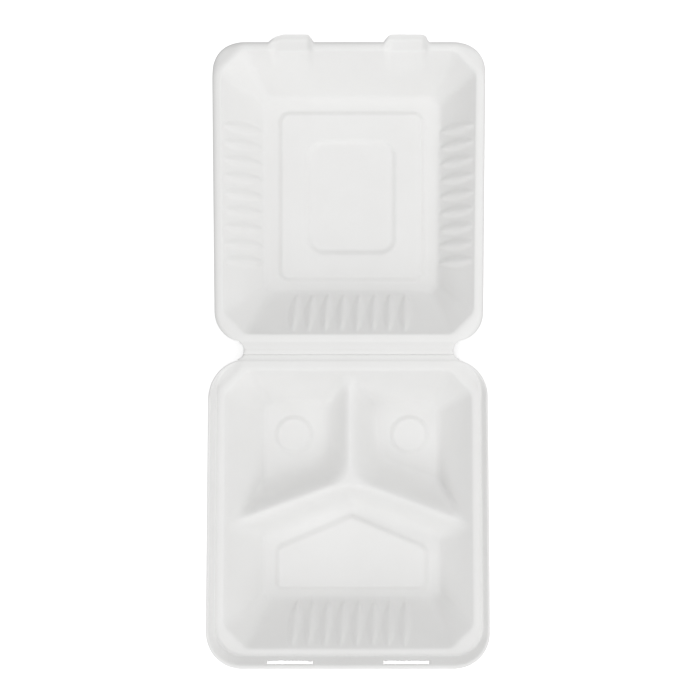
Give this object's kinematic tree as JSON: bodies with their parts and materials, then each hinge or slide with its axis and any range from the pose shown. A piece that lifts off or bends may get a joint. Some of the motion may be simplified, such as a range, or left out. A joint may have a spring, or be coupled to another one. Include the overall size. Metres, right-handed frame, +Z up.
{
  "type": "bagasse clamshell container",
  "caption": "Open clamshell food box pressed from plant fibre: compartmented base with slotted lip, ribbed lid with locking tongues, joined at a fold",
  "frame": {"origin": "centre of the open box's footprint, on the table", "axes": "+X along the fold, +Y from the base toward the lid, +Z up out of both hollows"},
  "size_m": [0.2076, 0.4652, 0.044],
  "materials": {
    "fibre": "matt pressed fibre, uncoated"
  },
  "bodies": {
    "base": {"base": "fibre"},
    "lid": {"lid": "fibre"}
  },
  "joints": [
    {"name": "lid_hinge", "type": "hinge", "parent": "base", "child": "lid", "pos_m": [0, -0.00034, 0.03815], "axis": [1, 0, 0], "range_deg": [0, 180]}
  ]
}
